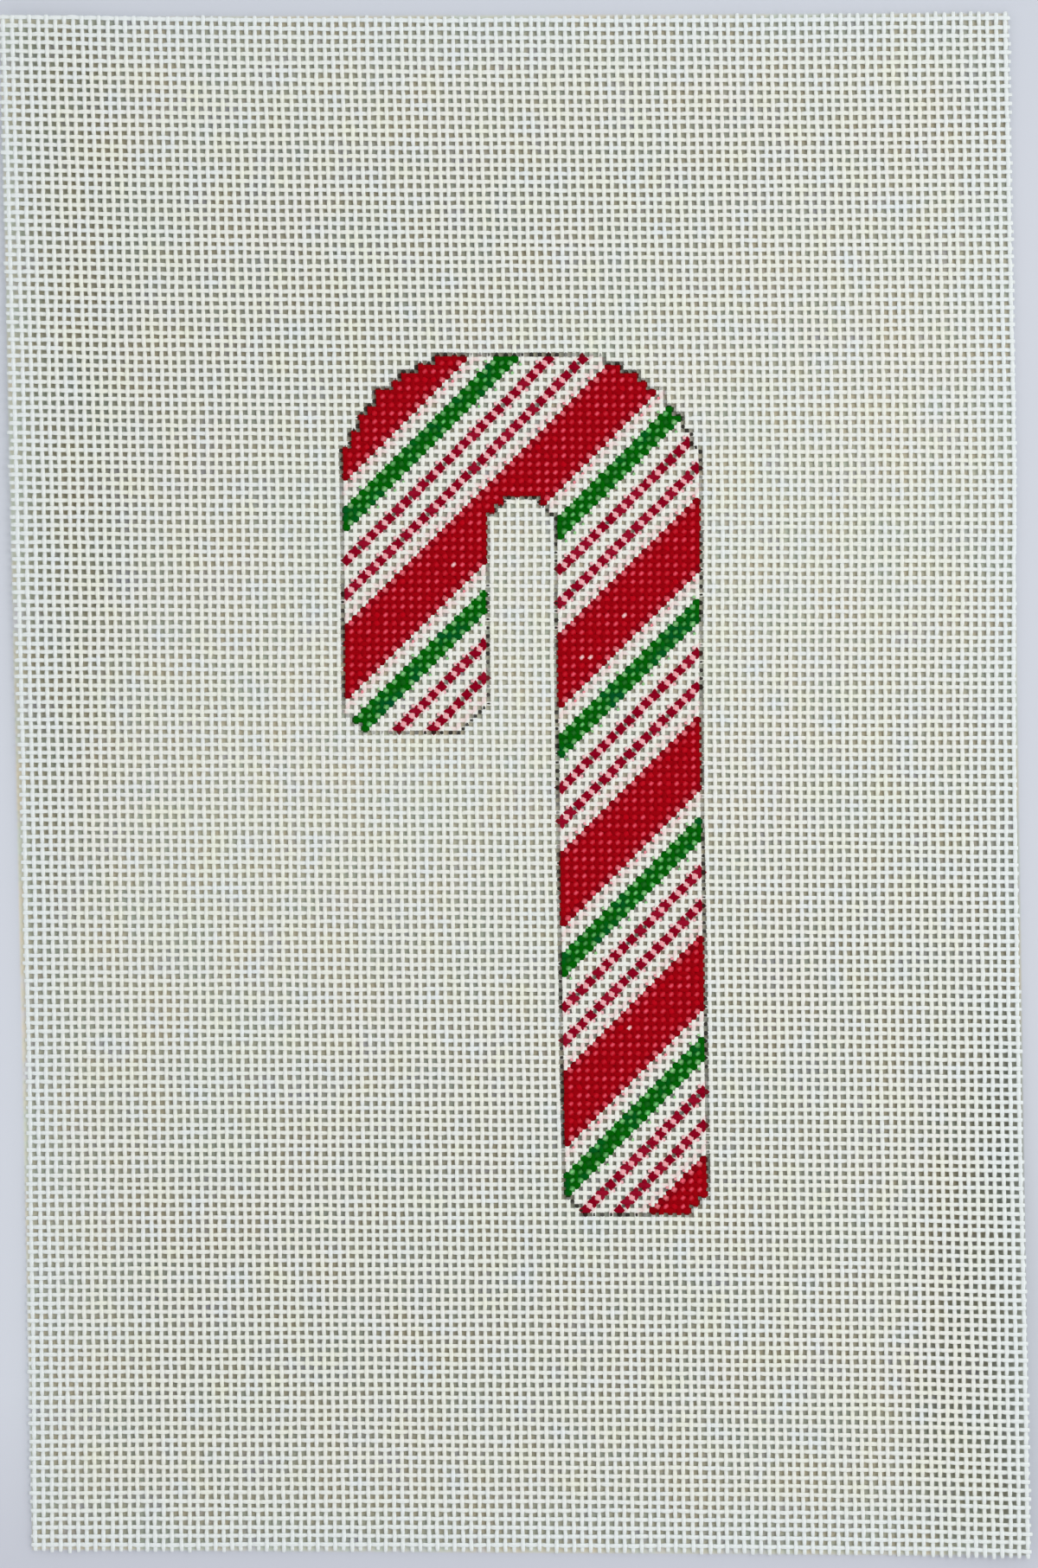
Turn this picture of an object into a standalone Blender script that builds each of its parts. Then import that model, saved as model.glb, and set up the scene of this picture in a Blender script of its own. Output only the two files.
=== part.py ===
# Needlepoint canvas with a candy cane painted on it, lying flat with its painted face up.
# Metres, +Z up: +X is the canvas's right, +Y its top end. The origin is under its middle.
# Places on the canvas are counted in threads: u counts upright threads from the left,
# and v counts level threads from the top.

import math

import bmesh
import bpy
import numpy as np

MM = 0.001

# The weave: 18 threads to the inch across and a little more down, with the lean, the fan
# and the spread towards its edges that a cut piece of open canvas has
PITCH_ACROSS = 1.4037 * MM
PITCH_DOWN = 1.3866 * MM
LEAN = 0.0222 * MM          # sideways, for each thread down
DROP = 0.0036 * MM          # downwards, for each thread across
FAN_ACROSS = -0.000095 * MM
FAN_DOWN = 0.000034 * MM
LOOSENING = 0.0000735 * MM  # threads lie a little wider towards the bottom
EDGE_SPREAD = 0.5           # for each square metre of distance from the middle
MIDDLE_U = 62.0
MIDDLE_V = 91.0

# The upright threads sway, in threads: to the right past the hook, to the left at the top
SWAY_REACH = 22.0
BULGE = 0.34                # from none at the left edge to this
BULGE_V = 53.0
BULGE_START_U = -2.0
BULGE_RUN_U = 55.0
PULL = (0.15, 0.45)         # at the left and right edges
PULL_V = -4.0
EDGE_U = (4.0, 120.0)

# The cut edges, in threads: left and right at the top and bottom, top and bottom at the sides
CUT_LEFT = (3.45, 3.5)
CUT_RIGHT = (120.5, 120.4)
CUT_TOP = (0.75, 0.2)
CUT_BOTTOM = (181.75, 181.85)

THICKNESS = 0.9 * MM
SHEET_STEPS = (26, 30)
FLAT_HALF_WIDTH = 52 * MM   # the middle lies flat, out to here

# Where the edges stand off the table: side, height, reach inwards, middle in Y, half length
LIFTS = (
    (-1, 1.0 * MM, 26 * MM, 70 * MM, 125 * MM),
    (1, 1.2 * MM, 24 * MM, -100 * MM, 80 * MM),
)

# The painted cane, in threads, on the lines between them
CANE_LEFT = 41.5
CANE_RIGHT = 83.5
CANE_TOP = 40.5
CANE_FOOT = 142.5
HOOK_FOOT = 85.5
SLOT_LEFT = 58.5
SLOT_RIGHT = 66.5
SLOT_TOP = 57.5
SLOT_CROWN = 5.0            # height of the slot's half-round top
BEND_RADIUS = 16.0
CORNER_RADIUS = 3.0

# Its stripes rise to the right and repeat every 26 threads of u + v: middle and width
STRIPE_REPEAT = 26
STRIPES = ((15, 9), (24, 3), (3, 0.9), (7, 0.9))

# Coats of paint stand this far above the bare canvas
GROUND_COAT = 0.1 * MM
STRIPE_COAT = 0.25 * MM
STRIPE_INSET = 0.2          # threads between the stripes' ends and the cane's outline
ARC_STEPS = 10


def clear_scene():
    for old in list(bpy.data.objects):
        bpy.data.objects.remove(old, do_unlink=True)


def new_collection(name):
    collection = bpy.data.collections.new(name)
    bpy.context.scene.collection.children.link(collection)
    return collection


def link(name, mesh, collection):
    made = bpy.data.objects.new(name, mesh)
    collection.objects.link(made)
    return made


def hide_tool(tool):
    tool.hide_render = True
    tool.display_type = "WIRE"


def evaluated_mesh(source):
    # The object's mesh with its modifiers applied, or a curve's with its caps welded
    graph = bpy.context.evaluated_depsgraph_get()
    mesh = bpy.data.meshes.new_from_object(source.evaluated_get(graph))
    bm = bmesh.new()
    bm.from_mesh(mesh)
    bmesh.ops.remove_doubles(bm, verts=bm.verts, dist=0.000001)
    bm.to_mesh(mesh)
    bm.free()
    return mesh


def flat_place(u, v):
    # An even weave, before the lean and spread are given to it
    return (u - MIDDLE_U) * PITCH_ACROSS, (MIDDLE_V - v) * PITCH_DOWN


def arc(centre_u, centre_v, half_width, half_height, start, end):
    # Angles in degrees, from +u towards the top of the canvas
    turns = np.radians(np.linspace(start, end, ARC_STEPS + 1))
    return [(centre_u + half_width * math.cos(a), centre_v - half_height * math.sin(a))
            for a in turns]


def corner(centre_u, centre_v, radius, start):
    return arc(centre_u, centre_v, radius, radius, start, start - 90)


def cane_outline(inset):
    left = CANE_LEFT + inset
    right = CANE_RIGHT - inset
    top = CANE_TOP + inset
    foot = CANE_FOOT - inset
    hook_foot = HOOK_FOOT - inset
    slot_left = SLOT_LEFT - inset
    slot_right = SLOT_RIGHT + inset
    slot_middle = (SLOT_LEFT + SLOT_RIGHT) / 2
    slot_half = (slot_right - slot_left) / 2
    bend = BEND_RADIUS - inset
    small = CORNER_RADIUS - inset
    points = corner(left + bend, top + bend, bend, 180)
    points += corner(right - bend, top + bend, bend, 90)
    points += corner(right - small, foot - small, small, 0)
    points += corner(slot_right + small, foot - small, small, -90)
    points += arc(slot_middle, SLOT_TOP + SLOT_CROWN, slot_half, SLOT_CROWN + inset, 0, 180)
    points += corner(slot_left - small, hook_foot - small, small, 0)
    points += corner(left + small, hook_foot - small, small, -90)
    return [flat_place(u, v) for u, v in points]


def cane_prism(name, inset, low, high, tools):
    curve = bpy.data.curves.new(name + "_line", "CURVE")
    curve.dimensions = "2D"
    curve.fill_mode = "BOTH"
    curve.extrude = (high - low) / 2
    points = cane_outline(inset)
    spline = curve.splines.new("POLY")
    spline.points.add(len(points) - 1)
    for point, (x, y) in zip(spline.points, points):
        point.co = (x, y, 0, 1)
    spline.use_cyclic_u = True
    line = link(name + "_line", curve, tools)
    mesh = evaluated_mesh(line)
    mesh.name = name
    bpy.data.objects.remove(line)
    for vertex in mesh.vertices:
        vertex.co.z += (low + high) / 2
    prism = link(name, mesh, tools)
    hide_tool(prism)
    return prism


def stripe_bars(name, low, high, tools):
    # One long box across the cane for each stripe, laid along u + v = a constant
    lowest_sum = CANE_LEFT + CANE_TOP
    highest_sum = CANE_RIGHT + CANE_FOOT
    middle_u = (CANE_LEFT + CANE_RIGHT) / 2
    length = 2 * (CANE_RIGHT - CANE_LEFT)
    bm = bmesh.new()
    for middle, width in STRIPES:
        first = math.ceil((lowest_sum - middle - width) / STRIPE_REPEAT)
        last = math.floor((highest_sum - middle + width) / STRIPE_REPEAT)
        for repeat in range(first, last + 1):
            middle_v = STRIPE_REPEAT * repeat + middle - middle_u
            made = bmesh.ops.create_cube(bm, size=1)["verts"]
            for vertex in made:
                along = vertex.co.x * length
                side = vertex.co.y * width / 2
                u = middle_u + along / 2 + side
                v = middle_v - along / 2 + side
                x, y = flat_place(u, v)
                vertex.co = (x, y, low + (vertex.co.z + 0.5) * (high - low))
    bmesh.ops.recalc_face_normals(bm, faces=bm.faces)
    mesh = bpy.data.meshes.new(name)
    bm.to_mesh(mesh)
    bm.free()
    bars = link(name, mesh, tools)
    hide_tool(bars)
    return bars


def add_boolean(target, tool, operation):
    step = target.modifiers.new(operation.lower() + "_" + tool.name, "BOOLEAN")
    step.operation = operation
    step.solver = "EXACT"
    step.object = tool


def bare_sheet(name, tools):
    # A grid between the cut edges, with its flat middle left as one face
    bm = bmesh.new()
    across, down = SHEET_STEPS
    bmesh.ops.create_grid(bm, x_segments=across, y_segments=down, size=0.5)
    for vertex in bm.verts:
        side = vertex.co.x + 0.5
        low = 0.5 - vertex.co.y
        left = CUT_LEFT[0] + (CUT_LEFT[1] - CUT_LEFT[0]) * low
        right = CUT_RIGHT[0] + (CUT_RIGHT[1] - CUT_RIGHT[0]) * low
        top = CUT_TOP[0] + (CUT_TOP[1] - CUT_TOP[0]) * side
        bottom = CUT_BOTTOM[0] + (CUT_BOTTOM[1] - CUT_BOTTOM[0]) * side
        x, y = flat_place(left + (right - left) * side, top + (bottom - top) * low)
        vertex.co = (x, y, 0)
    middle = [face for face in bm.faces if abs(face.calc_center_median().x) < FLAT_HALF_WIDTH]
    bmesh.ops.dissolve_faces(bm, faces=middle)
    grown = bmesh.ops.extrude_face_region(bm, geom=bm.faces[:])["geom"]
    for vertex in (item for item in grown if isinstance(item, bmesh.types.BMVert)):
        vertex.co.z = THICKNESS
    bmesh.ops.recalc_face_normals(bm, faces=bm.faces)
    mesh = bpy.data.meshes.new(name)
    bm.to_mesh(mesh)
    bm.free()
    return link(name, mesh, tools)


def ease(share):
    share = min(max(share, 0), 1)
    return share * share * (3 - 2 * share)


def sway(u, v):
    bulge = BULGE * ease((u - BULGE_START_U) / BULGE_RUN_U)
    pull = PULL[0] + (PULL[1] - PULL[0]) * (u - EDGE_U[0]) / (EDGE_U[1] - EDGE_U[0])
    return (bulge * math.exp(-((v - BULGE_V) / SWAY_REACH) ** 2)
            - pull * math.exp(-((v - PULL_V) / SWAY_REACH) ** 2))


def woven_place(x, y):
    # Where a point of the even weave lies once the weave leans, sways and spreads
    across = x / PITCH_ACROSS
    down = -y / PITCH_DOWN
    new_x = x + LEAN * down + FAN_ACROSS * across * down
    new_x += PITCH_ACROSS * sway(across + MIDDLE_U, down + MIDDLE_V)
    new_y = y - DROP * across - FAN_DOWN * across * down - LOOSENING * down * down
    spread = 1 + EDGE_SPREAD * (new_x * new_x + new_y * new_y)
    return new_x * spread, new_y * spread


def lift(x, y, half_width):
    height = 0
    for side, most, reach, middle_y, half_length in LIFTS:
        inwards = half_width - side * x
        along = abs(y - middle_y) / half_length
        height += most * ease(1 - inwards / reach) * ease(1 - along)
    return height


def lay_down(mesh):
    # Gives the flat mesh its lean and its lifted edges, and centres it on the origin
    places = [woven_place(vertex.co.x, vertex.co.y) for vertex in mesh.vertices]
    xs = [x for x, _ in places]
    ys = [y for _, y in places]
    middle_x = (min(xs) + max(xs)) / 2
    middle_y = (min(ys) + max(ys)) / 2
    half_width = (max(xs) - min(xs)) / 2
    for vertex, (x, y) in zip(mesh.vertices, places):
        x -= middle_x
        y -= middle_y
        vertex.co = (x, y, vertex.co.z + lift(x, y, half_width))


def canvas_material():
    material = bpy.data.materials.new("canvas_cotton")
    material.use_nodes = True
    shader = material.node_tree.nodes["Principled BSDF"]
    shader.inputs["Base Color"].default_value = (0.80, 0.83, 0.80, 1)
    shader.inputs["Roughness"].default_value = 0.75
    shader.inputs["Metallic"].default_value = 0
    return material


def build_canvas():
    parts = new_collection("needlepoint_canvas")
    tools = new_collection("cutters")
    ground = cane_prism("cane_ground", 0, 0.3 * THICKNESS, THICKNESS + GROUND_COAT, tools)
    limit = cane_prism("stripe_limit", STRIPE_INSET, 0, 2 * THICKNESS, tools)
    bars = stripe_bars("stripe_bars", 0.5 * THICKNESS, THICKNESS + STRIPE_COAT, tools)
    add_boolean(bars, limit, "INTERSECT")
    sheet = bare_sheet("bare_sheet", tools)
    add_boolean(sheet, ground, "UNION")
    add_boolean(sheet, bars, "UNION")
    mesh = evaluated_mesh(sheet)
    bpy.data.objects.remove(sheet)
    lay_down(mesh)
    mesh.name = "canvas"
    mesh.materials.clear()
    mesh.materials.append(canvas_material())
    link("canvas", mesh, parts)


clear_scene()
build_canvas()
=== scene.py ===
import math

import bmesh
import bpy
import numpy as np
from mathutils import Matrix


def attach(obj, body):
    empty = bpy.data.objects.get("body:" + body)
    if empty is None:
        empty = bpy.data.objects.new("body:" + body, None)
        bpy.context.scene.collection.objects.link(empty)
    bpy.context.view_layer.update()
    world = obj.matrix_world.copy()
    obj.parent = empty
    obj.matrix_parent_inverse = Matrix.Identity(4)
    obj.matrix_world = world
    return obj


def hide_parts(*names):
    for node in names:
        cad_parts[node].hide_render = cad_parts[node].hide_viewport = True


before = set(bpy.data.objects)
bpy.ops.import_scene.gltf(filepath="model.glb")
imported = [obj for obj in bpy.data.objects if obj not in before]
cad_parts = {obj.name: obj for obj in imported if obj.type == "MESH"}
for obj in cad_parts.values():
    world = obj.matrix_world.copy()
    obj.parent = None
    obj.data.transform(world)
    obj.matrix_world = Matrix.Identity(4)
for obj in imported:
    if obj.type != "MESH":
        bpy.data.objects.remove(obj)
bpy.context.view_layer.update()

mm = 0.001

# Places on the canvas are counted in threads: u counts the upright threads from the left,
# v counts the level threads from the top. Lengths here are in millimetres.
weave = {
    "upright": (4, 120),          # first and last upright thread
    "level": (1, 181),            # first and last level thread
    "pitchAcross": 1.4037,
    "pitchDown": 1.3866,
    "lean": 0.0222,               # sideways, for each thread down
    "drop": 0.0036,               # downwards, for each thread across
    "fanAcross": -0.000095,
    "fanDown": 0.000034,
    "loosening": 0.0000735,       # threads lie a little wider towards the bottom
    "edgeSpread": 5e-7,           # for each square millimetre from the middle
    "middle": (62, 91),
    # the upright threads sway, in threads: to the right past the hook, to the left at the top
    "swayReach": 22,
    "bulge": 0.34, "bulgeV": 53, "bulgeFrom": -2, "bulgeRun": 55,
    "pull": (0.15, 0.45), "pullV": -4,        # at the left and right edges
    "uprightLength": 181.3,       # of one thread along the cloth, in threads
    "levelLength": 117,
    "corners": ((3.45, 0.75), (120.5, 0.2), (3.5, 181.75), (120.4, 181.85)),
    # where the threads are cut off: thread number along the edge, and place across it
    "cutLeft": ((1, 3.45), (64, 3.22), (121, 3.72), (156, 3.3), (181, 3.55)),
    "cutRight": ((1, 120.6), (50, 120.26), (90, 120.26), (131, 120.4), (181, 120.4)),
    "cutTop": ((4, 0.78), (120, 0.2)),
    "cutBottom": ((4, 181.75), (120, 181.85)),
    # where the edges stand off the table: side, height, reach inwards, middle in y, half length
    "lifts": ((-1, 1.0, 26, 70, 125), (1, 1.2, 24, -100, 80)),
}

thread = {
    "width": 0.74,
    "height": 0.62,
    "sides": 6,
    "flatness": 1.3,              # 1 is a rounded section, 2 a square one
    "flatPart": 0.4,              # the corners nearer the middle than this are moved out
    "ringsPerStitch": 3,
    "wave": 0.12,                 # how far a thread rises over and dips under the others
    "paintWidth": 0.30,           # a coat of paint reaches this far into the holes
    "paintHeight": 0.06,
    "groundWidth": 0.07,
    "wander": 0.018,              # sideways jitter at each crossing, in threads
    "drift": 0.07,                # slow sideways drift of a whole thread, in threads
    "driftLengths": (14, 60),
    "swell": 0.035,               # how much a thread's thickness varies
    "roundness": 0.85,            # below 1 a thread turns faster between over and under
    "stubRings": 2,               # on the bare end past the last crossing
    "stubReach": 0.6,             # over this far a loose end flattens out
    "stubFlat": 0.7,
    "stubTaper": 0.82,
    "ragged": 0.07,               # unevenness of the cut, in threads
    "lowest": 0.005,              # clear of the table
    "markHalf": 0.3,              # of a mark of the drawn outline, in threads
    "groups": 4,                  # pieces for each direction
    "seed": 18,
}

# A thread's own map for baking is two lanes wide, with a cap at each end
bakeMap = {
    "laneEdge": 0.06, "laneWidth": 0.88, "foot": 0.01, "length": 0.98,
    "capWidth": 0.8, "capDepth": 0.006, "capPlaces": (0.004, 0.996),
}

# The painted cane, in threads, on the lines between them
cane = {
    "left": 41.5, "right": 83.5, "top": 40.5, "foot": 142.5, "hookFoot": 85.5,
    "slotLeft": 58.5, "slotRight": 66.5, "slotTop": 57.5, "slotCrown": 3,
    "bend": 16, "corner": 4.2, "chamfer": 140.5,
    "reach": 0.28,                # a stitch is painted if its middle is this near the line
    "repeat": 26,                 # the stripes repeat in u + v
    "red": (10.5, 19.5), "greenFrom": 22.5, "dots": (3, 7), "dotSize": 0.8,
}


class Wire:
    # One output socket of a material; an expression on wires adds its Math nodes
    def __init__(self, tree, socket):
        self.tree = tree
        self.socket = socket

    def add(self, kind, settings=None, inputs=None, output=0):
        made = self.tree.nodes.new(kind)
        for name, value in (settings or {}).items():
            if name == "stops":
                ramp = made.color_ramp.elements
                while len(ramp) < len(value):
                    ramp.new(0.5)
                for stop, (place, colour) in zip(ramp, value):
                    stop.position = place
                    stop.color = colour
            else:
                setattr(made, name, value)
        for key, value in (inputs or {}).items():
            if isinstance(value, Wire):
                self.tree.links.new(value.socket, made.inputs[key])
            else:
                made.inputs[key].default_value = value
        return Wire(self.tree, made.outputs[output])

    def math(self, operation, *values):
        return self.add("ShaderNodeMath", {"operation": operation}, dict(enumerate(values)))

    def __add__(self, other):
        return self.math("ADD", self, other)

    def __radd__(self, other):
        return self.math("ADD", other, self)

    def __sub__(self, other):
        return self.math("SUBTRACT", self, other)

    def __rsub__(self, other):
        return self.math("SUBTRACT", other, self)

    def __mul__(self, other):
        return self.math("MULTIPLY", self, other)

    def __rmul__(self, other):
        return self.math("MULTIPLY", other, self)

    def __truediv__(self, other):
        return self.math("DIVIDE", self, other)

    def __pow__(self, other):
        return self.math("POWER", self, other)

    def __mod__(self, other):
        return self.math("FLOORED_MODULO", self, other)

    def __neg__(self):
        return self.math("MULTIPLY", self, -1)

    def __abs__(self):
        return self.math("ABSOLUTE", self)

    def __lt__(self, other):
        return self.math("LESS_THAN", self, other)

    def __gt__(self, other):
        return self.math("GREATER_THAN", self, other)

    def mix(self, first, second):
        # this wire is the share of the second colour
        return self.add("ShaderNodeMix", {"data_type": "RGBA"}, {0: self, 6: first, 7: second}, 2)


def larger(a, b):
    wires = [value for value in (a, b) if isinstance(value, Wire)]
    return wires[0].math("MAXIMUM", a, b) if wires else np.maximum(a, b)


def smaller(a, b):
    wires = [value for value in (a, b) if isinstance(value, Wire)]
    return wires[0].math("MINIMUM", a, b) if wires else np.minimum(a, b)


def clamp(a, low=0, high=1):
    return smaller(larger(a, low), high)


def nearest(a):
    return a.math("ROUND", a) if isinstance(a, Wire) else np.round(a)


# The cane's rule works on numbers and on material wires alike

def legEdge(u, v, left, right, foot):
    corner = cane["corner"]
    across = larger(abs(u - (left + right) / 2) - ((right - left) / 2 - corner), 0)
    down = larger(v - (foot - corner), 0)
    return (across * across + down * down) ** 0.5 - corner


def caneEdge(u, v):
    # how far a place is outside the cane's outline, in threads
    middle = (cane["left"] + cane["right"]) / 2
    bend = cane["bend"]
    across = larger(abs(u - middle) - ((cane["right"] - cane["left"]) / 2 - bend), 0)
    up = larger(cane["top"] + bend - v, 0)
    outside = (across * across + up * up) ** 0.5 - bend
    slotHalf = (cane["slotRight"] - cane["slotLeft"]) / 2
    slotAcross = u - (cane["slotLeft"] + cane["slotRight"]) / 2
    crownFoot = cane["slotTop"] + cane["slotCrown"]
    crown = larger(crownFoot - v, 0) * (slotHalf / cane["slotCrown"])
    inSlot = slotHalf - (slotAcross * slotAcross + crown * crown) ** 0.5
    hook = legEdge(u, v, cane["left"], cane["slotLeft"], cane["hookFoot"])
    hook = larger(hook, (u + v - cane["chamfer"]) * math.sqrt(0.5))
    shaft = legEdge(u, v, cane["slotRight"], cane["right"], cane["foot"])
    legs = smaller(smaller(hook, shaft), v - crownFoot)
    return larger(larger(outside, inSlot), legs)


def paintAt(u, v):
    # which coats lie on the stitch at u, v: ground, red and green, each 0 or 1
    u = nearest(u)
    v = nearest(v)
    ground = caneEdge(u, v) < cane["reach"]
    step = (u + v) % cane["repeat"]
    red = ground * (step > cane["red"][0]) * (step < cane["red"][1])
    green = ground * (step > cane["greenFrom"])
    return ground, red, green


def nearestDot(u, v):
    # how far a place is from the nearest stitch of the dotted lines, and that stitch
    first, second = cane["dots"]
    step = (u + v) % cane["repeat"]
    isSecond = step > (first + second) / 2
    fromLine = step - first - isSecond * (second - first)
    alongLine = (u - v) % 2 - 1
    reach = larger(abs(fromLine), abs(alongLine))
    return reach, u - (fromLine + alongLine) * 0.5, v - (fromLine - alongLine) * 0.5


def dotsAt(u, v, size):
    reach, dotU, dotV = nearestDot(u, v)
    return (caneEdge(dotU, dotV) < cane["reach"]) * (reach < size)


# The shape of the cloth

def between(pair, share):
    return pair[0] + (pair[1] - pair[0]) * share


def ease(share):
    share = np.clip(share, 0, 1)
    return share * share * (3 - 2 * share)


def sway(u, v):
    first, last = weave["upright"]
    bulge = weave["bulge"] * ease((u - weave["bulgeFrom"]) / weave["bulgeRun"])
    pull = between(weave["pull"], (u - first) / (last - first))
    return (bulge * np.exp(-((v - weave["bulgeV"]) / weave["swayReach"]) ** 2)
            - pull * np.exp(-((v - weave["pullV"]) / weave["swayReach"]) ** 2))


def leaningPlace(u, v):
    across = u - weave["middle"][0]
    down = v - weave["middle"][1]
    x = weave["pitchAcross"] * across + weave["lean"] * down + weave["fanAcross"] * across * down
    x += weave["pitchAcross"] * sway(u, v)
    y = -(weave["pitchDown"] * down + weave["drop"] * across
          + weave["fanDown"] * across * down + weave["loosening"] * down * down)
    spread = 1 + weave["edgeSpread"] * (x * x + y * y)
    return x * spread, y * spread


clothCorners = np.array([leaningPlace(u, v) for u, v in weave["corners"]])
clothLow = clothCorners.min(0)
clothHigh = clothCorners.max(0)
clothMiddle = (clothLow + clothHigh) / 2
clothHalfWidth = (clothHigh[0] - clothLow[0]) / 2
clothMid = thread["wave"] + thread["height"] / 2             # the weave's middle, above its underside


def clothPlace(u, v):
    # x, y and the height of the cloth's underside, in millimetres in the frame
    x, y = leaningPlace(u, v)
    x = x - clothMiddle[0]
    y = y - clothMiddle[1]
    height = 0
    for side, most, reach, middleY, halfLength in weave["lifts"]:
        inwards = clothHalfWidth - side * x
        height = height + most * ease(1 - inwards / reach) * ease(1 - abs(y - middleY) / halfLength)
    return x, y, height


def faceTurn(face):
    # orders a thread's faces along it and round it, the same in every run
    middle = face.calc_center_median()
    return middle.y * 10 + math.atan2(middle.z, middle.x)


def looseThread(name, first, last, count):
    # One straight thread along y in stitch units, closed at both ends, and its bake map
    rings = thread["ringsPerStitch"] * (last - first) + 1 + 2 * thread["stubRings"]
    sides = thread["sides"]
    bm = bmesh.new()
    uvs = bm.loops.layers.uv.new("OFBake")
    bmesh.ops.create_circle(bm, cap_ends=False, segments=sides, radius=0.5)
    ring = sorted(bm.verts, key=lambda vertex: math.atan2(vertex.co.y, vertex.co.x))
    for vertex in ring:
        vertex.co = (vertex.co.x, 0, vertex.co.y)
    edges = bm.edges[:]
    half = (rings - 1) / 2
    lane = 0.5 / count
    for step in range(1, rings):
        grown = bmesh.ops.extrude_edge_only(bm, edges=edges)["geom"]
        edges = [item for item in grown if isinstance(item, bmesh.types.BMEdge)]
        for vertex in (item for item in grown if isinstance(item, bmesh.types.BMVert)):
            vertex.co.y = step
        for face in (item for item in grown if isinstance(item, bmesh.types.BMFace)):
            second = step > half
            middle = face.calc_center_median()
            around = math.atan2(middle.z, middle.x) / (2 * math.pi) + 0.5
            for loop in face.loops:
                spot = loop.vert.co
                turn = math.atan2(spot.z, spot.x) / (2 * math.pi) + 0.5
                if turn - around > 0.5:
                    turn -= 1
                if around - turn > 0.5:
                    turn += 1
                along = (spot.y - half * second) / half
                loop[uvs].uv = (lane * (second + bakeMap["laneEdge"] + bakeMap["laneWidth"] * turn),
                                bakeMap["foot"] + bakeMap["length"] * along)
        edges = [edge for edge in edges if all(vertex.co.y == step for vertex in edge.verts)]
    for end in (0, rings - 1):
        rim = [edge for edge in bm.edges if all(vertex.co.y == end for vertex in edge.verts)]
        cap = bmesh.ops.edgeloop_fill(bm, edges=rim)["faces"][0]
        for loop in cap.loops:
            spot = loop.vert.co
            loop[uvs].uv = (lane * (0.5 + bakeMap["capWidth"] * spot.x + (end > 0)),
                            bakeMap["capPlaces"][end > 0] + bakeMap["capDepth"] * spot.z)
    bmesh.ops.recalc_face_normals(bm, faces=bm.faces)
    bm.faces.sort(key=faceTurn)
    mesh = bpy.data.meshes.new(name)
    bm.to_mesh(mesh)
    bm.free()
    return mesh, rings


def threadRow(name, first, last, count):
    # count copies of that thread side by side, one stitch apart
    mesh, rings = looseThread(name, first, last, count)
    row = bpy.data.objects.new(name, mesh)
    bpy.context.scene.collection.objects.link(row)
    array = row.modifiers.new("threads", "ARRAY")
    array.count = count
    array.use_relative_offset = False
    array.use_constant_offset = True
    array.constant_offset_displace = (2, 0, 0)
    array.offset_u = 1 / count
    graph = bpy.context.evaluated_depsgraph_get()
    made = bpy.data.meshes.new_from_object(row.evaluated_get(graph))
    row.modifiers.clear()
    row.data = made
    bpy.data.meshes.remove(mesh)
    made.name = name
    return row, rings


def jitterAt(table, row, place):
    # a value for each crossing, run on smoothly between crossings
    low = np.clip(np.floor(place).astype(int), 0, table.shape[1] - 2)
    share = ease(place - low)
    return table[row, low] * (1 - share) + table[row, low + 1] * share


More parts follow.
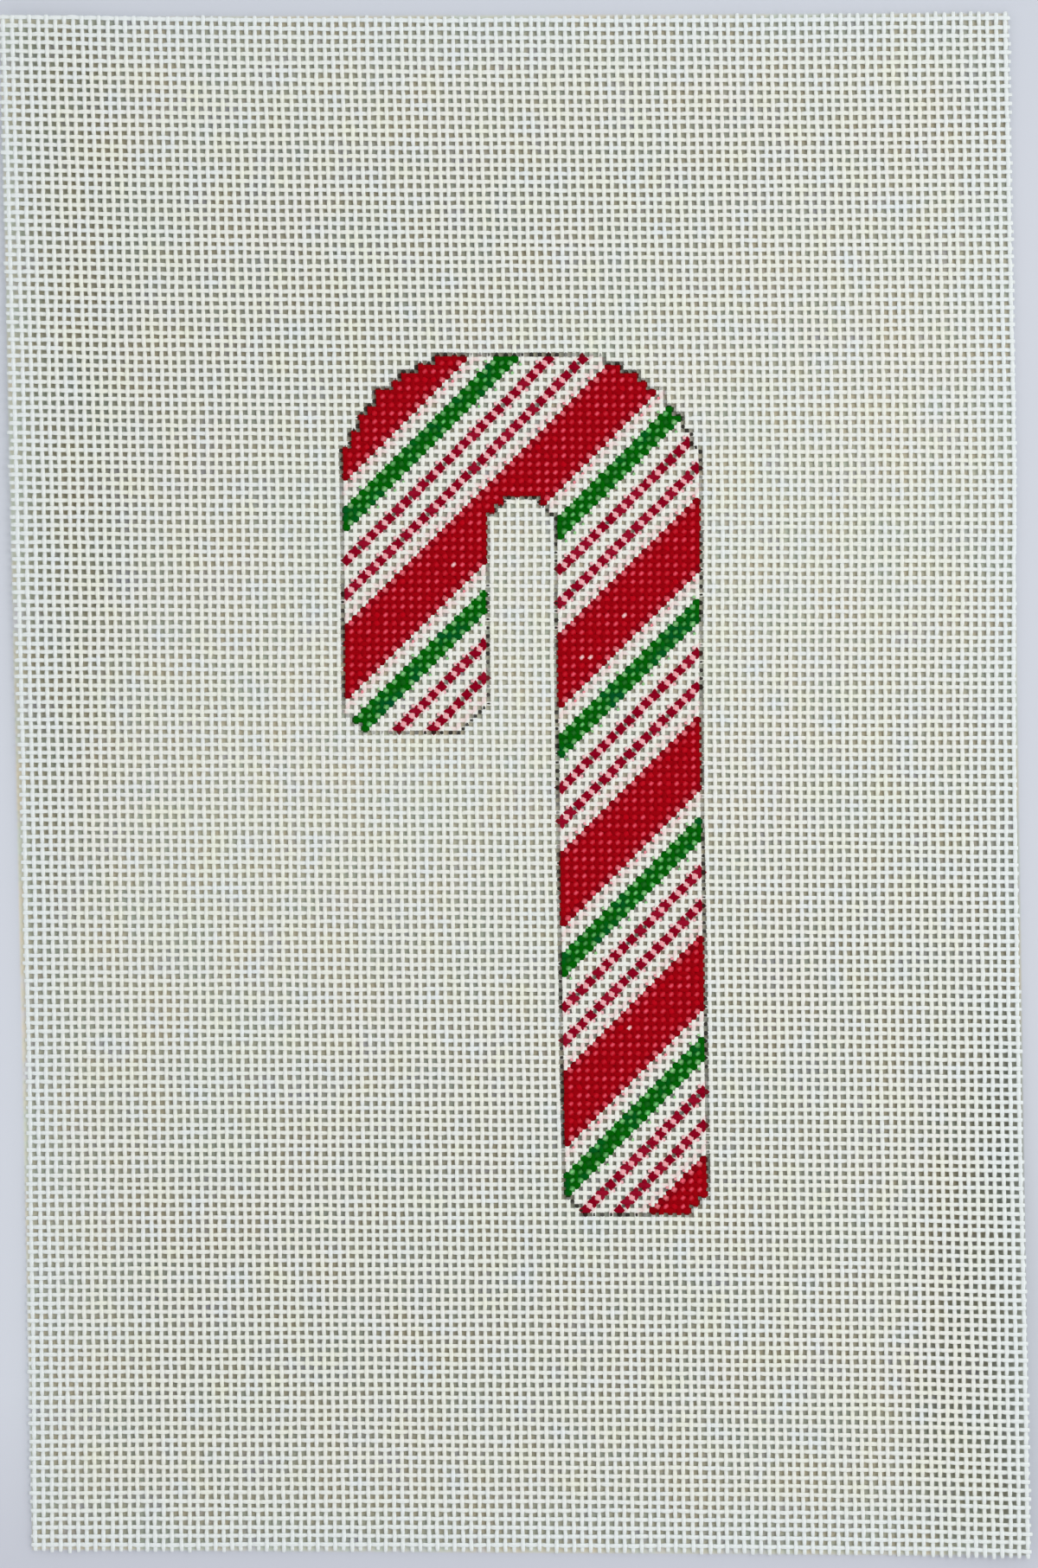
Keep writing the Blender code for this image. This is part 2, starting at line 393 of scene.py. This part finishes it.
def layThreads(name, upright, firstThread, count, draw):
    # A row of threads woven in, over and under the threads of the other direction
    first, last = weave["level"] if upright else weave["upright"]
    row, rings = threadRow(name, first, last, count)
    mesh = row.data
    flat = np.empty(len(mesh.vertices) * 3)
    mesh.vertices.foreach_get("co", flat)
    flat = flat.reshape(-1, 3)
    number = np.round(flat[:, 0] / 2).astype(int)
    side = flat[:, 0] - 2 * number                           # -0.5 to 0.5 across the thread
    top = flat[:, 2]                                         # -0.5 to 0.5 up
    line = firstThread + number
    ends = ("cutTop", "cutBottom") if upright else ("cutLeft", "cutRight")
    start, stop = (np.interp(line, *zip(*weave[end])) for end in ends)
    ring = flat[:, 1]
    fromEnd = rings - 1 - ring
    stubRings = thread["stubRings"]
    inner = first + (ring - stubRings) / thread["ringsPerStitch"]
    along = np.where(ring < stubRings, start + (first - start) * ring / stubRings, inner)
    along = np.where(fromEnd < stubRings, stop + (last - stop) * fromEnd / stubRings, along)
    # rough cut ends
    ragged = draw.normal(0, thread["ragged"], (count, 2))
    along = np.where(ring == 0, along + ragged[number, 0], along)
    along = np.where(fromEnd == 0, along + ragged[number, 1], along)
    swell = draw.normal(1, thread["swell"], (count, last - first + 3))
    wander = draw.normal(0, thread["wander"], (count, last - first + 3))
    place = along - first + 1
    sideways = jitterAt(wander, number, place)
    phase = draw.uniform(0, 2 * math.pi, (count, 3))
    length = draw.uniform(*thread["driftLengths"], (count, 3))
    for wave in range(3):
        sideways += thread["drift"] / 3 * np.sin(
            2 * math.pi * along / length[number, wave] + phase[number, wave])
    lineHere = line + sideways
    stub = np.maximum(np.maximum(first - along, along - last), 0)
    over = np.cos(math.pi * (along + line + (0 if upright else 1)))
    over = np.sign(over) * abs(over) ** thread["roundness"]
    over = over * (1 - ease(stub / thread["stubReach"]) * thread["stubFlat"])
    u = lineHere if upright else along
    v = along if upright else lineHere
    stitchU, stitchV = (line, along) if upright else (along, line)
    ground, red, green = paintAt(stitchU, stitchV)
    dots = dotsAt(stitchU, stitchV, cane["dotSize"])
    painted = larger(larger(red, green), dots)
    fat = jitterAt(swell, number, place)
    fat = np.where((ring == 0) | (fromEnd == 0), fat * thread["stubTaper"], fat)
    side = np.where(abs(side) < thread["flatPart"], side * thread["flatness"], side)
    side = side * (1 + painted * thread["paintWidth"] + ground * (1 - painted) * thread["groundWidth"])
    x, y, base = clothPlace(u, v)
    across = side * thread["width"] * fat
    x = x + (across if upright else 0)
    y = y + (0 if upright else across)
    level = over * thread["wave"] + top * thread["height"] * fat * (1 + painted * thread["paintHeight"])
    z = np.maximum(base + clothMid + level, thread["lowest"])
    mesh.vertices.foreach_set("co", (np.stack([x, y, z], 1) * mm).ravel())
    pitch = weave["pitchAcross"] if upright else weave["pitchDown"]
    offLine = side * thread["width"] / pitch
    stitch = np.stack([line + offLine if upright else along,
                       along if upright else line + offLine, level / clothMid], 1)
    mesh.attributes.new("stitch", "FLOAT_VECTOR", "POINT").data.foreach_set(
        "vector", stitch.astype(np.float32).ravel())
    run = np.stack([along, side, line], 1)
    mesh.attributes.new("run", "FLOAT_VECTOR", "POINT").data.foreach_set(
        "vector", run.astype(np.float32).ravel())
    # the drawn outline: a mark wherever a thread runs out of the cane, between two crossings
    before = np.floor(along)
    grounds = [paintAt(line, at)[0] if upright else paintAt(at, line)[0] for at in (before, before + 1)]
    marked = (grounds[0] != grounds[1]) & (abs(along - before - 0.5) < thread["markHalf"])
    mesh.attributes.new("ink", "FLOAT", "POINT").data.foreach_set("value", marked.astype(np.float32))
    mesh.shade_smooth()
    mesh.update()
    return row


def wireStart(material):
    material.use_nodes = True
    tree = material.node_tree
    shader = tree.nodes["Principled BSDF"]
    return Wire(tree, None), tree, shader


def attribute(start, name):
    held = start.add("ShaderNodeAttribute", {"attribute_name": name}, {}, 1)
    parts = start.add("ShaderNodeSeparateXYZ", {}, {0: held})
    node = parts.socket.node
    return held, [Wire(start.tree, node.outputs[i]) for i in range(3)]


def noise(start, place, scale, detail=2.0):
    # from -1 to 1
    made = start.add("ShaderNodeTexNoise", {"noise_dimensions": "3D"},
                     {"Vector": place, "Scale": scale, "Detail": detail})
    return made * 2 - 1


threadFinish = {
    "cotton": (0.83, 0.885, 0.825, 1),
    "rosyCotton": (0.885, 0.865, 0.82, 1),
    "yellowCotton": (0.87, 0.89, 0.76, 1),
    "blueCotton": (0.82, 0.875, 0.90, 1),
    "coolCotton": (0.83, 0.88, 0.88, 1),      # cotton drawn cooler and bluer along the cut edges
    "coolReach": 7,
    "paintedWeaveShade": (0.40, 0.40, 0.27, 1),     # painted shade inside the weave, between its two faces
    "shadeReach": 2.6,
    "shadeDepth": 0.55,
    "blush": (0.88, 0.53, 0.55, 1),           # red paint that has crept along the threads
    "whiteCoat": (0.88, 0.885, 0.83, 1),
    "red": (0.42, 0.0, 0.005, 1),
    "darkRed": (0.24, 0.0, 0.003, 1),
    "maroon": (0.16, 0.0, 0.005, 1),
    "crimson": (0.27, 0.0, 0.013, 1),
    "pinkCrimson": (0.42, 0.012, 0.045, 1),
    "green": (0.0, 0.15, 0.0, 1),
    "darkGreen": (0.0, 0.085, 0.002, 1),
    "blueGreen": (0.0, 0.085, 0.028, 1),
    "ink": (0.02, 0.017, 0.012, 1),
    "inkEdge": 0.60,              # a mark fills this much of the way back to the crossings
    "inkSoftEnds": 0.32,          # how much one mark's length differs from the next
    "inkRound": 0.45,             # its ends are rounded by this much at the thread's sides
    "wobble": 0.10,               # unevenness of the paint's edges, in threads
    "blushReach": 0.9,            # the blush is strongest this far outside a red stripe
    "rim": 1.1,                   # and the maroon this far inside it
    "dotVary": 0.14,              # how much one dot's size differs from the next
    "dotWobble": 0.2,
    "backLevel": -0.45,           # paint stops this low on a thread
    "inkLevel": -0.2,
    "groundShare": 0.8,           # how well the white coat covers the cotton
    # how fine each noise is, to the stitch
    "softScale": 1.3, "downScale": 1.7, "dotScale": 1.1, "coarseScale": 0.06, "fineScale": 9.0,
    "mottleScale": 0.33, "greenScale": 0.35, "inkScale": 0.11,
    "mottle": (1.6, 0.1, 0.8),    # strength, threshold and most of the yellow and blue patches
    "pressed": (0.45, 0.97),      # how dark the pen's marks are, at least and at most
    "roughness": 0.8,
    "paintRoughness": 0.6,
    "gloss": 0.02,
    "plies": 3,                   # twists of the yarn in one stitch
    "plySlant": 1.6,
    "bump": 0.35, "bumpDistance": 0.00005,
}


def threadMaterial():
    finish = threadFinish
    material = bpy.data.materials.new("paintedThreads")
    start, tree, shader = wireStart(material)
    held, (u, v, level) = attribute(start, "stitch")   # level: -1 at the back, 1 at the front
    _, (along, side, line) = attribute(start, "run")
    soft = noise(start, held, finish["softScale"], 1.0)
    coarse = noise(start, held, finish["coarseScale"], 2.0)
    fine = noise(start, held, finish["fineScale"], 3.0)
    ground, red, green = paintAt(u + soft * finish["wobble"],
                                 v + noise(start, held, finish["downScale"], 1.0) * finish["wobble"])
    fromDot, dotU, dotV = nearestDot(u, v)
    dotPlace = start.add("ShaderNodeCombineXYZ", {}, {0: nearest(dotU), 1: nearest(dotV)})
    dotChance = start.add("ShaderNodeTexWhiteNoise", {}, {0: dotPlace})
    dotSize = cane["dotSize"] + dotChance * finish["dotVary"] - finish["dotVary"] / 2
    dotSize = dotSize + noise(start, held, finish["dotScale"], 1.0) * finish["dotWobble"]
    dots = dotsAt(u, v, dotSize)
    upper = (level + soft * 0.25) > finish["backLevel"]
    tint = coarse * 0.5 + 0.5
    cotton = tint.mix(finish["cotton"], finish["rosyCotton"])
    mottle = noise(start, held, finish["mottleScale"], 1.0)
    strength, threshold, most = finish["mottle"]
    cotton = clamp(mottle * strength - threshold, 0, most).mix(cotton, finish["yellowCotton"])
    cotton = clamp(mottle * -strength - threshold, 0, most).mix(cotton, finish["blueCotton"])
    fromSide = (weave["upright"][1] - weave["upright"][0]) / 2 - abs(u - weave["middle"][0])
    fromEnd = (weave["level"][1] - weave["level"][0]) / 2 - abs(v - weave["middle"][1])
    cool = 1 - smaller(fromSide, fromEnd) / finish["coolReach"]
    cotton = clamp(cool + coarse * 0.4).mix(cotton, finish["coolCotton"])
    colour = (ground * upper * finish["groundShare"]).mix(cotton, finish["whiteCoat"])
    step = (u + v) % cane["repeat"]
    redFrom, redTo = cane["red"]
    nearRed = smaller(abs(step - (redFrom - finish["blushReach"])),
                      abs(step - (redTo + finish["blushReach"])))
    nearDots = abs(fromDot - cane["dotSize"])
    blush = larger(0.65 - nearRed, 0.65 - nearDots * 2) * (1 + soft * 0.5) * ground
    colour = clamp(blush, 0, 0.4).mix(colour, finish["blush"])
    # painted shade: the cotton is drawn darker towards the weave's middle level, between its two faces
    shade = clamp(1 - abs(level) * finish["shadeReach"])
    colour = (shade * finish["shadeDepth"]).mix(colour, finish["paintedWeaveShade"])
    uneven = clamp((fine + soft) * 0.5 + 0.5)
    redHere = uneven.mix(finish["red"], finish["darkRed"])
    rim = smaller((step < redFrom + finish["rim"]) + (step > redTo - finish["rim"]), 1)
    rim = rim * (soft * 0.5 + 0.45)
    # the maroon is darker paint at the stripes' edges, and painted shade on the threads' sides
    redHere = clamp(larger(rim, shade * 0.75)).mix(redHere, finish["maroon"])
    greenHere = uneven.mix(finish["green"], finish["darkGreen"])
    bluer = clamp(noise(start, held, finish["greenScale"], 1.0) * strength - threshold)
    greenHere = bluer.mix(greenHere, finish["blueGreen"])
    crimson = clamp(dotChance * 0.8 - 0.4 + soft * 0.3, 0, 0.4).mix(
        finish["crimson"], finish["pinkCrimson"])
    colour = (red * upper).mix(colour, redHere)
    colour = (green * upper).mix(colour, greenHere)
    colour = (dots * upper).mix(colour, crimson)
    ink = start.add("ShaderNodeAttribute", {"attribute_name": "ink"}, {}, 2)
    mark = start.add("ShaderNodeCombineXYZ", {}, {0: line, 1: nearest(along * 2)})
    chance = start.add("ShaderNodeTexWhiteNoise", {}, {0: mark})
    inkEdge = chance * finish["inkSoftEnds"] + finish["inkEdge"] + soft * 0.12
    inked = (ink - abs(side) * finish["inkRound"]) > inkEdge
    pressed = clamp(noise(start, held, finish["inkScale"], 1.0) * 2.0 + 0.85, *finish["pressed"])
    colour = (inked * (level > finish["inkLevel"]) * pressed).mix(colour, finish["ink"])
    shader.inputs["Roughness"].default_value = finish["roughness"]
    tree.links.new(colour.socket, shader.inputs["Base Color"])
    coat = smaller(red + green + dots, 1) * upper
    rough = finish["roughness"] - coat * (finish["roughness"] - finish["paintRoughness"])
    tree.links.new(rough.socket, shader.inputs["Roughness"])
    shader.inputs["Specular IOR Level"].default_value = finish["gloss"]
    ply = start.math("SINE", (along * finish["plies"] + side * finish["plySlant"]) * (2 * math.pi))
    height = ply * (1 - coat * 0.8) * 0.5 + fine * 0.6
    bump = start.add("ShaderNodeBump", {}, {"Strength": finish["bump"], "Height": height,
                                            "Distance": finish["bumpDistance"]})
    tree.links.new(bump.socket, shader.inputs["Normal"])
    return material


print("weaving")
draw = np.random.default_rng(thread["seed"])
threadsMaterial = threadMaterial()
for upright, word in ((True, "warp"), (False, "weft")):
    firstLine, lastLine = weave["upright"] if upright else weave["level"]
    edges = np.linspace(firstLine, lastLine + 1, thread["groups"] + 1).astype(int)
    for group in range(thread["groups"]):
        count = int(edges[group + 1] - edges[group])
        piece = layThreads(f"{word}_threads_{group + 1}", upright, int(edges[group]), count, draw)
        piece.data.materials.append(threadsMaterial)
        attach(piece, "root")
        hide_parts("canvas")
        print(piece.name, len(piece.data.polygons), "faces")

# Thin films of dried paint in the holes between painted threads
filmSettings = {
    "half": 0.34,                 # of a pitch, reaching into the threads
    "thickness": 0.05,
    "height": 0.27,               # above the middle of the weave
    "sag": 0.06,
    # share of the holes of each kind that have some
    "share": {"inside": 1, "corner": 1, "edge": 0.6, "betweenDots": 0.70, "besideDot": 0.45},
    # thinness, drawn lighter as painted light through the film, and paleness, each with what the draw
    # adds, and how much is left at the rim
    "looks": {
        "inside": (0, 1, 0, 0, 0),
        "corner": (0.55, 0.45, 0, 0.5, 0.25),
        "edge": (1, 0, 0.5, 0.4, 0.7),
        "betweenDots": (1, 0, 0.75, 0.25, 0.9),
        "besideDot": (1, 0, 1, 0, 1),
    },
    "shortSide": -0.2, "dotSide": 0.1,        # how far a part film reaches on its open sides
    "glint": 0.006,               # share of the holes in red with a painted white glint
    "glintPale": 2.0,
    "thinAndLitPower": 1.1,
    "sampleAt": 0.8,              # of the way to the four stitches around a hole
    "dotReach": 0.2,
    "roughness": 0.5,
    "gloss": 0.03,
    "seed": 7,
    # each paint's film from thick to thin; the bright thin end is painted light through the hole
    "red": ((0.52, 0.0, 0.008, 1), (1.0, 0.13, 0.21, 1)),
    "green": ((0.004, 0.12, 0.006, 1), (0.2, 0.78, 0.22, 1)),
    "palePink": (0.93, 0.50, 0.53, 1),
    "paleGreen": (0.45, 0.66, 0.36, 1),
    "white": (0.95, 0.93, 0.90, 1),
}


def filmPatch(bm, layers, u, v, reach, looks):
    # one hole's patch, dished, and drawn thinnest and lightest in the middle, a painted light through
    # the film; reach is how far it goes left, right, up and down
    film = filmSettings
    made = bmesh.ops.create_grid(bm, x_segments=2, y_segments=2, size=0.5)["verts"]
    for vertex in made:
        side, up = vertex.co.x + 0.5, vertex.co.y + 0.5
        bowl = (1 - abs(2 * side - 1)) * (1 - abs(2 * up - 1))
        x, y, base = clothPlace(u + between((-reach[0], reach[1]), side) * film["half"],
                                v - between((-reach[2], reach[3]), up) * film["half"])
        z = base + clothMid + film["height"] - film["sag"] * bowl
        vertex.co = (x * mm, y * mm, z * mm)
        vertex[layers["green"]] = looks["green"]
        vertex[layers["thin"]] = looks["thin"] * between((looks["rim"], 1), bowl)
        vertex[layers["pale"]] = looks["pale"] * between((looks["rim"], 1), bowl)


def paintFilm():
    # a hole's film follows from how many of the four stitches around it are painted
    film = filmSettings
    draw = np.random.default_rng(film["seed"])
    bm = bmesh.new()
    layers = {word: bm.verts.layers.float.new(word) for word in ("green", "thin", "pale")}
    us, vs = np.meshgrid(np.arange(cane["left"], cane["right"] + 0.5),
                         np.arange(cane["top"], cane["foot"] + 0.5))
    us = us.ravel()
    vs = vs.ravel()
    corners = [(-0.5, -0.5), (0.5, -0.5), (-0.5, 0.5), (0.5, 0.5)]
    around = [paintAt(us + film["sampleAt"] * du, vs + film["sampleAt"] * dv) for du, dv in corners]
    reds = np.sum([coats[1] for coats in around], 0)
    greens = np.sum([coats[2] for coats in around], 0)
    inside = np.min([coats[0] for coats in around], 0)
    dotCorners = np.array([dotsAt(us + du, vs + dv, film["dotReach"]) for du, dv in corners]).T
    for u, v, red, green, dotted, kept in zip(us, vs, reds, greens, dotCorners, inside):
        most = max(red, green)
        dots = sum(dotted)
        chance, thin, glint, spread = draw.random(4)
        reach = (1, 1, 1, 1)
        if most == 4:
            kind = "inside"
            thin = thin ** film["thinAndLitPower"]
        elif most == 3:
            kind = "corner"
        elif most > 0:
            kind = "edge"
            short = film["shortSide"]
            reach = (short, 1, 1, 0) if spread < 0.5 else (0, 1, short, 1)
        elif dots == 2:
            kind = "betweenDots"
        elif dots == 1:
            kind = "besideDot"
            short = film["dotSide"]
            reach = (1, short, 1, short) if dotted[0] else (short, 1, short, 1)
        else:
            continue
        if not kept or chance > film["share"][kind]:
            continue
        thinAndLitFrom, thinAndLitMore, paleFrom, paleMore, rim = film["looks"][kind]
        looks = {"green": float(green > red), "thin": thinAndLitFrom + thinAndLitMore * thin,
                 "pale": paleFrom + paleMore * spread, "rim": rim}
        # a few red films get a painted white glint
        if red == 4 and glint < film["glint"]:
            looks["pale"] = film["glintPale"]
        filmPatch(bm, layers, u, v, reach, looks)
    bmesh.ops.recalc_face_normals(bm, faces=bm.faces)
    for face in bm.faces:
        face.normal_update()
        if face.normal.z < 0:
            face.normal_flip()
    mesh = bpy.data.meshes.new("paint_film")
    bm.to_mesh(mesh)
    bm.free()
    mesh.shade_smooth()
    piece = bpy.data.objects.new("paint_film", mesh)
    bpy.context.scene.collection.objects.link(piece)
    solid = piece.modifiers.new("thickness", "SOLIDIFY")
    solid.thickness = film["thickness"] * mm
    solid.offset = -1
    material = bpy.data.materials.new("paintFilm")
    start, tree, shader = wireStart(material)
    isGreen, thin, pale = (start.add("ShaderNodeAttribute", {"attribute_name": word}, {}, 2)
                           for word in ("green", "thin", "pale"))
    # the thinner the film, the lighter it is drawn: painted light through the hole
    colour = isGreen.mix(thin.mix(*film["red"]), thin.mix(*film["green"]))
    colour = smaller(pale, 1).mix(colour, isGreen.mix(film["palePink"], film["paleGreen"]))
    # pale past the glint mark turns the film white, a painted glint
    colour = (pale > film["glintPale"] * 0.8).mix(colour, film["white"])
    tree.links.new(colour.socket, shader.inputs["Base Color"])
    shader.inputs["Roughness"].default_value = film["roughness"]
    shader.inputs["Specular IOR Level"].default_value = film["gloss"]
    mesh.materials.append(material)
    return piece


film = paintFilm()
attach(film, "root")
print("paint film", len(film.data.polygons), "faces")

# Floor, light and camera

stageSettings = {
    "scale": 7.0,                 # photograph pixels to the millimetre
    "photoHeight": 1813,
    "cameraHeight": 480,
    "floorColour": (0.69, 0.725, 0.80, 1),
    "floorRight": (0.65, 0.68, 0.75, 1),
    "floorTop": (0.625, 0.66, 0.735, 1),
    "floorFoot": (0.597, 0.62, 0.70, 1),
    "floorUnder": (0.53, 0.57, 0.50, 1),      # painted shade, darker and olive, where the canvas hides it but for the holes
    # painted light, under the middle of the canvas
    "floorMiddle": (0.76, 0.82, 0.71, 1),
    # warm and cool tints of the painted shade on the hidden floor, each from shaded to lit
    "floorBrown": ((0.59, 0.54, 0.41, 1), (0.88, 0.80, 0.63, 1)),
    "floorViolet": ((0.55, 0.545, 0.60, 1), (0.82, 0.81, 0.88, 1)),
    # painted shade, along the right rim low down
    "floorShaded": (0.36, 0.38, 0.33, 1),
    "floorRoughness": 0.8,
    "floorHalf": 2.5,             # metres
    "underEdge": 2.5,             # how sharply the hidden part ends at the cut edges
    # the band of painted light under the canvas: its middle, tilt, flatness and reach, in millimetres
    "bandY": 19, "bandTilt": 0.45, "bandFlat": 0.1, "bandReach": 60, "bandMost": 1.2,
    # how fine its warm and cool patches are, how strong, and how far they spread
    "warmScales": (90.0, 520.0), "warmStrengths": (1.5, 0.9), "warmSpread": 0.5,
    "coolScales": (130.0, 480.0), "coolStrengths": (1.8, 1.0), "coolSpread": -0.2,
    "leftMost": 0.9, "leftReach": 26,         # painted light along the left rim
    "endFrom": 98, "endReach": 55,            # and painted light at the two ends
    "shadeReach": 8, "shadeFrom": -30, "shadeRun": 30,            # painted shade along the right rim, low down
    "rightFrom": 20, "rightRun": 60, "endsFrom": 100, "endsRise": 0.03,       # the bare floor, with painted shade towards the right and the two ends
    "aim": (0.01, -0.81),         # the picture's middle, from the crossing at the weave's middle
    "sensor": 36,
    "skyStrength": 1.27,
    # how bright the room is from straight down to straight up
    "sky": ((0.0, 0.5), (0.5, 1.0), (0.72, 1.0), (0.86, 0.5), (1.0, 0.2)),
    "skyTint": (0.985, 0.99, 1),
    "keyPower": 1.05, "keyPlace": (0.30, 0.08, 0.55), "keySize": 0.4, "keyColour": (1.0, 0.99, 0.96),
}


def patches(start, place, word):
    coarse, fine = stageSettings[word + "Scales"]
    coarseStrength, fineStrength = stageSettings[word + "Strengths"]
    mixed = (noise(start, place, coarse, 2.0) * coarseStrength
             + noise(start, place, fine, 1.0) * fineStrength)
    return clamp(mixed + stageSettings[word + "Spread"])


def makeFloor():
    stage = stageSettings
    bm = bmesh.new()
    bmesh.ops.create_grid(bm, x_segments=1, y_segments=1, size=stage["floorHalf"])
    mesh = bpy.data.meshes.new("floor")
    bm.to_mesh(mesh)
    bm.free()
    floor = bpy.data.objects.new("floor", mesh)
    bpy.context.scene.collection.objects.link(floor)
    material = bpy.data.materials.new("paleBoard")
    start, tree, shader = wireStart(material)
    place = start.add("ShaderNodeTexCoord", {}, {}, 3)
    split = place.add("ShaderNodeSeparateXYZ", {}, {0: place}).socket.node
    x, y = (Wire(tree, split.outputs[i]) * 1000 for i in (0, 1))
    topLeft, topRight, footLeft, footRight = clothCorners - clothMiddle
    beyond = []                                                # millimetres past each cut edge
    for (x1, y1), (x2, y2) in ((topLeft, topRight), (topRight, footRight), (footRight, footLeft),
                               (footLeft, topLeft)):
        long = math.hypot(x2 - x1, y2 - y1)
        beyond.append((y - float(y1)) * float((x2 - x1) / long)
                      - (x - float(x1)) * float((y2 - y1) / long))
    pastTop, pastRight, pastFoot, pastLeft = beyond
    outside = larger(larger(pastTop, pastFoot), larger(pastRight, pastLeft))
    under = clamp(outside * -stage["underEdge"])
    # painted light: the middle and the left rim are drawn lighter, as light comes through and under the
    # cloth there
    above = y - stage["bandY"] - x * stage["bandTilt"]
    away = (x * x * stage["bandFlat"] + above * above) ** 0.5
    middle = stage["bandMost"] - away / stage["bandReach"]
    atLeft = stage["leftMost"] + pastLeft / stage["leftReach"]
    atEnds = (abs(y) - stage["endFrom"]) / stage["endReach"]
    middle = clamp(larger(middle, larger(atLeft, atEnds)))
    # painted shade on the hidden floor, lightened where the painted light falls
    hidden = middle.mix(stage["floorUnder"], stage["floorMiddle"])
    hidden = patches(start, place, "warm").mix(hidden, middle.mix(*stage["floorBrown"]))
    hidden = patches(start, place, "cool").mix(hidden, middle.mix(*stage["floorViolet"]))
    # painted shade along the right rim, low down
    nearRight = clamp(1 + pastRight / stage["shadeReach"])
    lowDown = clamp((stage["shadeFrom"] - y) / stage["shadeRun"])
    hidden = (nearRight * lowDown).mix(hidden, stage["floorShaded"])
    # painted shade: the bare floor is drawn darker towards the right, the top and the foot
    toRight = clamp((x - stage["rightFrom"]) / stage["rightRun"])
    toTop = clamp((y - stage["endsFrom"]) * stage["endsRise"])
    toFoot = clamp((y + stage["endsFrom"]) * -stage["endsRise"])
    bare = toRight.mix(stage["floorColour"], stage["floorRight"])
    bare = toTop.mix(bare, stage["floorTop"])
    bare = toFoot.mix(bare, stage["floorFoot"])
    tree.links.new(under.mix(bare, hidden).socket, shader.inputs["Base Color"])
    shader.inputs["Roughness"].default_value = stage["floorRoughness"]
    mesh.materials.append(material)


def areaLight(name, place, size, power, colour):
    data = bpy.data.lights.new(name, "AREA")
    data.shape = "DISK"
    data.size = size
    data.energy = power
    data.color = colour
    light = bpy.data.objects.new(name, data)
    bpy.context.scene.collection.objects.link(light)
    light.location = place
    aim = -light.location
    light.rotation_euler = aim.to_track_quat("-Z", "Y").to_euler()


def makeLights():
    stage = stageSettings
    areaLight("key", stage["keyPlace"], stage["keySize"], stage["keyPower"], stage["keyColour"])
    world = bpy.data.worlds.new("room")
    bpy.context.scene.world = world
    world.use_nodes = True
    tree = world.node_tree
    start = Wire(tree, None)
    place = start.add("ShaderNodeTexCoord", {}, {}, 0)
    height = start.add("ShaderNodeSeparateXYZ", {}, {0: place}, 2) * 0.5 + 0.5
    stops = [(at, (*(level * tint for tint in stage["skyTint"]), 1)) for at, level in stage["sky"]]
    ramp = start.add("ShaderNodeValToRGB", {"stops": stops}, {0: height})
    sky = tree.nodes["Background"]
    tree.links.new(ramp.socket, sky.inputs["Color"])
    sky.inputs["Strength"].default_value = stage["skyStrength"]
    bpy.context.scene.view_settings.view_transform = "Standard"


def makeCamera():
    stage = stageSettings
    data = bpy.data.cameras.new("camera")
    camera = bpy.data.objects.new("camera", data)
    bpy.context.scene.collection.objects.link(camera)
    x, y = np.array(stage["aim"]) - clothMiddle
    camera.location = (x * mm, y * mm, stage["cameraHeight"] * mm)
    long = stage["photoHeight"] / stage["scale"]
    data.sensor_width = stage["sensor"]
    data.lens = stage["sensor"] * stage["cameraHeight"] / long
    data.clip_start = 0.01
    bpy.context.scene.camera = camera


makeFloor()
makeLights()
makeCamera()
print("stage set")
